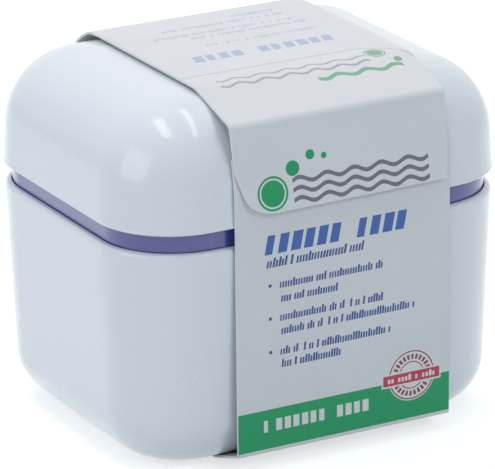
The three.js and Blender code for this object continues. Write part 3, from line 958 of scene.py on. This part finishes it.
# Runs of dashes, as left and right, then the foot, then the height
FRONT_TITLE = ((-18.3, 1.3), (5.0, 18.1))
FRONT_LABEL = ((-18.9, -17.9), (-15.8, -2.7), (-0.2, 8.5))
FRONT_ROWS = (
    (-14.6, 11.7, 42.1), (-14.3, 0.2, 38.8), (-14.6, 11.7, 34.4),
    (-14.3, 19.8, 31.2), (-14.6, 14.1, 26.4), (-14.3, 0.7, 23.4),
)
REAR_ROWS, REAR_ROW_HEAD, REAR_ROW_STEP = 6, 32.6, 2.6
TOP_TITLE = ((-15.6, -2.5), (1.1, 20.7))
TOP_ROWS = (
    (-8.0, 20.5, -4.1), (-8.7, 21.0, -10.4), (-16.6, 19.6, -13.5), (-12.0, 20.0, -18.2),
    (8.0, 19.5, -21.8),
)


def stamp(tree, place, mark, **sizes):
    """One printed mark. Its sizes go to the inputs of the same names."""
    feeds = {name.capitalize(): value for name, value in sizes.items()}
    return use(tree, mark, {"Place": place, **feeds})["Mask"]


def stamp_discs(tree, place, discs):
    ring = partial(stamp, tree, place, RING)
    return [ring(across=x, up=y, inner=inner, outer=outer) for x, y, inner, outer in discs]


def faded(ink, share):
    """A thinned ink, so that the card shows through."""
    return tuple(share * dense + (1 - share) * bare for dense, bare in zip(ink, CARD_WHITE))


def emblem(tree, place):
    """A water emblem: bubbles that rise over three waves."""
    wave = partial(stamp, tree, place, WAVE, left=-11.5, right=23, swing=0.55, length=6.9)
    green = most(tree, stamp_discs(tree, place, FLAP_BUBBLES))
    grey = most(tree, [wave(level=level, width=0.95) for level in (66.6, 64.4, 62.2)])
    return [(green, GREEN_INK), (grey, GREY_INK)]


def seal(tree, place):
    """A rayed seal with a ribbon across it."""
    dash, box, ring = (partial(stamp, tree, place, mark) for mark in (DASHES, BOX, RING))
    across, up = SEAL_AT
    disc = ring(across=across, up=up, inner=0, outer=6.1)
    rims = stamp_discs(tree, place, SEAL_RIMS)
    rays = ring(across=across, up=up, inner=3.8, outer=5.0, notches=26.0)
    ribbon_edge = box(left=11.4, right=26.9, foot=12.9, head=16.2)
    ribbon = box(left=11.8, right=26.5, foot=13.3, head=15.8)
    dashes = dash(
        left=13.0, right=25.4, foot=13.9, tall=1.4, pitch=0.9, seed=31.0, slant=0.0, breaks=0.15
    )
    return [
        (disc, PALE_INK), (most(tree, [*rims, rays]), MAROON_INK), (ribbon_edge, PALE_INK),
        (ribbon, RED_INK), (dashes, PALE_INK),
    ]


def label_on_band(tree, place, foot, runs, **sizes):
    """The green band at the foot of a panel, with pale dashes on it."""
    band = stamp(tree, place, BOX, left=-40, right=40, foot=foot, head=14.0)
    dash = partial(stamp, tree, place, DASHES, foot=8.7, tall=2.8, pitch=2.2, slant=0.0, uneven=0.0)
    label = most(tree, [dash(left=left, right=right, **sizes) for left, right in runs])
    return (band, GREEN_INK), (label, PALE_INK)


def front_inks(tree, place):
    """A title, a line under it, six rows with dots, the band and the seal."""
    dash = partial(stamp, tree, place, DASHES)
    title = most(tree, [
        dash(left=left, right=right, foot=50.3, tall=4.4, pitch=3.28, seed=4.0, breaks=0.0,
             uneven=0.0)
        for left, right in FRONT_TITLE
    ])
    subtitle = dash(left=-17.9, right=6.6, foot=47.2, tall=2.2, pitch=0.75, seed=11.0, breaks=0.12)
    rows = [
        dash(left=left, right=right, foot=foot, tall=1.9, pitch=0.66, seed=20.0 + 9 * at,
             slant=0.1, breaks=0.14)
        for at, (left, right, foot) in enumerate(FRONT_ROWS)
    ]
    dots = stamp_discs(tree, place, FRONT_DOTS)
    band, label = label_on_band(tree, place, 4.7, FRONT_LABEL, seed=7.0, breaks=0.0)
    text = most(tree, [subtitle, *rows, *dots])
    return [band, (title, TITLE_INK), (text, BLUE_INK), label, *seal(tree, place)]


def rear_inks(tree, place):
    """A title, rows that end unevenly, and the band."""
    dash = partial(stamp, tree, place, DASHES)
    title = dash(
        left=-14, right=16, foot=38.2, tall=3.2, pitch=2.4, seed=5.0, breaks=0.1, uneven=0.0
    )
    rows = [
        dash(left=-20, right=20 - (at * 7) % 13, foot=REAR_ROW_HEAD - REAR_ROW_STEP * at,
             tall=1.5, pitch=0.9, seed=40.0 + 7 * at, slant=0.0)
        for at in range(REAR_ROWS)
    ]
    band, label = label_on_band(tree, place, 5.2, [(-14, 15)], seed=8.0, breaks=0.12)
    return [band, (title, TITLE_INK), (most(tree, rows), BLUE_INK), label]


def top_inks(tree, place):
    """A fine frame, a title of two words, rows that read from the rear, bubbles and waves."""
    dash, wave, box = (partial(stamp, tree, place, mark) for mark in (DASHES, WAVE, BOX))
    rule = box(left=-40, right=16.8, foot=15.95, head=16.4)
    round_end = stamp(tree, place, RING, across=16.8, up=29.0, inner=12.6, outer=13.05)
    bow = least(tree, round_end, box(left=16.8, right=40, foot=10, head=29))
    title = most(tree, [
        dash(left=left, right=right, foot=3.2, tall=4.1, pitch=3.28, seed=3.0, slant=-0.2,
             breaks=0.0, uneven=0.0)
        for left, right in TOP_TITLE
    ])
    rows = [
        dash(left=left, right=right, foot=foot, tall=1.6, pitch=1.0, seed=60.0 + 5 * at, slant=-0.1)
        for at, (left, right, foot) in enumerate(TOP_ROWS)
    ]
    bubbles = stamp_discs(tree, place, TOP_BUBBLES)
    green_wave = wave(left=3.2, right=25, level=27.6, swing=0.6, length=7.2, width=1.3)
    grey_waves = [
        wave(left=-19.5, right=18.5, level=level, swing=0.5, length=6.4, width=0.75)
        for level in (21.9, 24.4)
    ]
    return [
        (most(tree, [rule, bow]), faded(GREY_INK, 0.35)), (title, faded(SKY_INK, 0.45)),
        (most(tree, rows), faded(SKY_INK, 0.3)),
        (most(tree, [*bubbles, green_wave]), faded(GREEN_INK, 0.7)),
        (most(tree, grey_waves), faded(GREY_INK, 0.55)),
    ]


# ---------------------------------------------------------------- materials

# How far scratches and scuffs turn to their paler colour: partly wear, partly a painted highlight
# for a shrink film's glints
GLINT_AND_WEAR_SHARE = 0.6
GLOSS_DRIFT = 0.06
SCUFF_ROUGHNESS = 0.25
SCRATCH_DEPTH = 0.2
CARD_DEEP, CARD_PALE = (0.775, 0.785, 0.82, 1), (0.83, 0.84, 0.865, 1)
CARD_GLOSS, CARD_GLOSS_DRIFT = 0.35, 0.15
MAP_SCALE = 1000


def new_material(name):
    material = bpy.data.materials.new(name)
    material.use_nodes = True
    tree = material.node_tree
    return material, tree, tree.nodes["Principled BSDF"]


def bump(tree, shader, height, strength, distance):
    feeds = {"Height": height, "Strength": strength, "Distance": distance}
    raised = add(tree, "ShaderNodeBump", feeds)
    tree.links.new(raised.outputs[0], shader.inputs["Normal"])


def gloss_plastic(name, colour, deeper, glint_and_wear_colour, roughness, coat, marks):
    """Moulded plastic: tone that flows, faint waviness, and hairline scratches and scuffs painted
    paler, partly as wear and partly as painted glints of a shrink film.
    """
    material, tree, shader = new_material(name)
    place = add(tree, "ShaderNodeTexCoord").outputs["Object"]
    skin = use(tree, SKIN, {"Place": place, "Flow": 28.0, "Grain": 1100.0})
    scratches_and_glints = use(tree, MARKS, {"Place": place, "Scale": 70.0, "Amount": marks})
    tone = blend_colour(tree, skin["Tone"], (*deeper, 1), (*colour, 1))
    # Scratches and scuffs painted paler: partly wear, partly a painted highlight for a shrink
    # film's glints
    glint_and_wear_mask = times(tree, most(tree, [scratches_and_glints["Lines"], scratches_and_glints["Scuffs"]]), GLINT_AND_WEAR_SHARE)
    put(tree, shader.inputs["Base Color"], blend_colour(tree, glint_and_wear_mask, tone, (*glint_and_wear_colour, 1)))
    matt = calc(tree, "MULTIPLY_ADD", skin["Tone"], GLOSS_DRIFT, roughness - GLOSS_DRIFT / 2)
    matt = calc(tree, "MULTIPLY_ADD", scratches_and_glints["Scuffs"], SCUFF_ROUGHNESS, matt)
    put(tree, shader.inputs["Roughness"], matt)
    shader.inputs["Coat Weight"].default_value = coat
    shader.inputs["Coat Roughness"].default_value = 0.04
    shader.inputs["IOR"].default_value = 1.49
    height = minus(tree, skin["Height"], times(tree, scratches_and_glints["Lines"], SCRATCH_DEPTH))
    bump(tree, shader, height, strength=0.25, distance=0.2 * MM)
    return material


def printed_card(name, inks=None, mirror=1):
    """Coated card: fibre under a satin print that is laid out on the card's own map."""
    material, tree, shader = new_material(name)
    flat = add(tree, "ShaderNodeUVMap", uv_map="print").outputs[0]
    scale = {0: flat, 1: (MAP_SCALE * mirror, MAP_SCALE, 1)}
    place = add(tree, "ShaderNodeVectorMath", scale, operation="MULTIPLY").outputs[0]
    fibre = use(tree, FIBRE, {"Place": add(tree, "ShaderNodeTexCoord").outputs["Object"]})
    shade = between(tree, fibre["Tone"], low=0.3, high=1.0)
    colour = blend_colour(tree, shade, CARD_DEEP, CARD_PALE)
    for mask, ink in (inks(tree, place) if inks else []):
        colour = blend_colour(tree, times(tree, mask, INK_COVER), colour, ink)
    put(tree, shader.inputs["Base Color"], colour)
    matt = calc(tree, "MULTIPLY_ADD", fibre["Tone"], CARD_GLOSS_DRIFT, CARD_GLOSS)
    put(tree, shader.inputs["Roughness"], matt)
    shader.inputs["Specular IOR Level"].default_value = 0.3
    bump(tree, shader, fibre["Height"], strength=0.12, distance=0.1 * MM)
    return material


def bare_card(name, pale, dark):
    """Uncoated board, for the cut edges and the back."""
    material, tree, shader = new_material(name)
    fibre = use(tree, FIBRE, {"Place": add(tree, "ShaderNodeTexCoord").outputs["Object"]})
    colour = blend_colour(tree, fibre["Tone"], (*dark, 1), (*pale, 1))
    put(tree, shader.inputs["Base Color"], colour)
    shader.inputs["Roughness"].default_value = 0.85
    bump(tree, shader, fibre["Height"], strength=0.3, distance=0.1 * MM)
    return material


# The paler colour of the scratches and scuffs is partly wear and partly a painted glint
white_plastic = gloss_plastic(
    "white_plastic", colour=(0.83, 0.895, 0.95), deeper=(0.79, 0.86, 0.92),
    glint_and_wear_colour=(0.92, 0.94, 0.96), roughness=0.26, coat=0.7, marks=0.12,
)
blue_plastic = gloss_plastic(
    "blue_plastic", colour=(0.062, 0.088, 0.36), deeper=(0.048, 0.072, 0.31),
    glint_and_wear_colour=(0.3, 0.33, 0.55), roughness=0.22, coat=1.0, marks=0.35,
)
card_edge = bare_card("card_edge", pale=(0.90, 0.89, 0.88), dark=(0.80, 0.79, 0.78))
card_back = bare_card("card_back", pale=(0.76, 0.75, 0.73), dark=(0.66, 0.65, 0.62))
front_print = printed_card("front_print", front_inks)
rear_print = printed_card("rear_print", rear_inks, mirror=-1)
top_print = printed_card("top_print", top_inks)
flap_print = printed_card("flap_print", emblem)
plain_print = printed_card("plain_print")


# ---------------------------------------------------------------- the pieces

def dress(piece, body, node, material=None):
    if material:
        piece.data.materials.append(material)
    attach(piece, body)
    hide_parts(node)


dress(make_tub(), "tub", "tub_shell", white_plastic)
dress(make_lid(), "lid", "lid_shell", white_plastic)
dress(make_pin(), "tub", "hinge_pin", white_plastic)
dress(make_basket(), "basket", "rinse_basket", blue_plastic)
dress(make_handle(), "handle", "basket_handle", blue_plastic)

panels = make_sleeve_body([front_print, card_edge, card_back, rear_print])
dress(panels, "sleeve", "sleeve_body")
roof = make_sleeve_top([top_print, card_edge, card_back])
dress(roof, "sleeve_upper", "sleeve_top")

strip = make_sleeve_bend([plain_print, card_edge, card_back])
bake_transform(strip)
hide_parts("sleeve_rear_bend")

front_flap = make_sleeve_flap([flap_print, card_edge, card_back])
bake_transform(front_flap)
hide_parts("sleeve_flap")


# ---------------------------------------------------------------- camera, floor and light

# The camera, in degrees and in the image's pixels
AZIMUTH, ELEVATION, ROLL = -28.704, 19.177, -0.682
AIM = (0, 0, 42.6 * MM)
DISTANCE = 954.08 * MM
IMAGE_WIDE, IMAGE_TALL = 495, 469
FOCAL_PIXELS = 4162.78
CENTRE_PIXEL = 222.01
SENSOR = 36
NEAR, FAR = 0.05, 20

FLOOR_RADIUS = 4
FLOOR_DROP = 0.1 * MM
FLOOR_PAINT = (0.72, 0.73, 0.74, 1)
FLOOR_GLOW = 0.6
ROOM_LIGHT = 0.425
ROOM_TINT = (0.72, 0.903, 1.0, 1)
WHITE = (1, 1, 1, 1)

# Each lamp's name, place, aim, size, watts and colour, and whether gloss mirrors it
WARM, ROSE, SOFT_WARM, PALE = (1, 0.87, 0.82), (1, 0.93, 0.95), (1, 0.88, 0.83), (1, 0.95, 0.93)
CASE_MIDDLE = (0, 0, 0.04)
LAMPS = (
    ("strip_left", (-0.215, 0.0, 0.98), (-0.04, -0.03, 0.08), (0.56, 0.16), 1.05, WARM, True),
    ("strip_right", (0.30, -0.05, 0.95), (-0.03, -0.03, 0.08), (0.76, 0.10), 0.85, WARM, True),
    ("lamp_left", (-1.0, -0.1, 0.45), CASE_MIDDLE, (0.7, 0.7), 2.0, ROSE, True),
    ("lamp_top", (0.0, 0.42, 0.92), CASE_MIDDLE, (0.6, 0.5), 2.5, SOFT_WARM, False),
    ("lamp_front", (0.25, -0.9, 0.72), CASE_MIDDLE, (0.4, 0.2), 1.6, PALE, False),
)


def make_camera():
    azimuth, elevation, roll = (math.radians(angle) for angle in (AZIMUTH, ELEVATION, ROLL))
    level = math.cos(elevation)
    back = Vector((math.sin(azimuth) * level, -math.cos(azimuth) * level, math.sin(elevation)))
    right = Vector((0, 0, 1)).cross(back).normalized()
    up = back.cross(right)
    side = right * math.cos(roll) + up * math.sin(roll)
    head = up * math.cos(roll) - right * math.sin(roll)
    place = Vector(AIM) + back * DISTANCE
    camera = bpy.data.objects.new("photo_camera", bpy.data.cameras.new("photo_camera"))
    bpy.context.scene.collection.objects.link(camera)
    camera.matrix_world = Matrix(
        [[side[i], head[i], back[i], place[i]] for i in range(3)] + [[0, 0, 0, 1]]
    )
    camera.data.sensor_width = SENSOR
    camera.data.lens = FOCAL_PIXELS * SENSOR / IMAGE_WIDE
    camera.data.shift_y = (CENTRE_PIXEL - IMAGE_TALL / 2) / IMAGE_WIDE
    camera.data.clip_start, camera.data.clip_end = NEAR, FAR
    bpy.context.scene.camera = camera


def clear_rays(tree):
    """1 for what the camera sees straight, in gloss or through glass."""
    path = add(tree, "ShaderNodeLightPath").outputs
    return most(tree, [path[f"Is {kind} Ray"] for kind in ("Camera", "Glossy", "Transmission")])


def make_floor():
    bpy.ops.object.select_all(action="DESELECT")
    bpy.ops.mesh.primitive_circle_add(
        vertices=96, radius=FLOOR_RADIUS, fill_type="NGON", location=(0, 0, -FLOOR_DROP)
    )
    floor = settle("floor")
    material = bpy.data.materials.new("floor_white")
    material.use_nodes = True
    tree = material.node_tree
    tree.nodes.clear()
    paint = add(tree, "ShaderNodeBsdfDiffuse", {"Color": FLOOR_PAINT})
    strength = times(tree, clear_rays(tree), FLOOR_GLOW)
    glow = add(tree, "ShaderNodeEmission", {"Color": WHITE, "Strength": strength})
    both = add(tree, "ShaderNodeAddShader", {0: paint.outputs[0], 1: glow.outputs[0]})
    add(tree, "ShaderNodeOutputMaterial", {"Surface": both.outputs[0]})
    floor.data.materials.append(material)


def soft_lamp(name, place, aim, size, watts, colour, in_gloss):
    data = bpy.data.lights.new(name, "AREA")
    data.color = colour
    data.shape = "RECTANGLE"
    data.size, data.size_y = size
    data.energy = watts
    lamp = bpy.data.objects.new(name, data)
    bpy.context.scene.collection.objects.link(lamp)
    lamp.location = place
    lamp.rotation_euler = (Vector(aim) - Vector(place)).to_track_quat("-Z", "Y").to_euler()
    lamp.visible_glossy = in_gloss


def light_studio():
    world = bpy.data.worlds.new("studio")
    bpy.context.scene.world = world
    world.use_nodes = True
    tree = world.node_tree
    tree.nodes.clear()
    clear = clear_rays(tree)
    levels = {"Value": clear, "To Min": ROOM_LIGHT, "To Max": 1.0}
    level = add(tree, "ShaderNodeMapRange", levels).outputs[0]
    tint = blend_colour(tree, clear, ROOM_TINT, WHITE)
    glow = add(tree, "ShaderNodeBackground", {"Color": tint, "Strength": level})
    add(tree, "ShaderNodeOutputWorld", {"Surface": glow.outputs[0]})
    for lamp in LAMPS:
        soft_lamp(*lamp)


make_camera()
make_floor()
light_studio()
bpy.context.scene.view_settings.view_transform = "Standard"
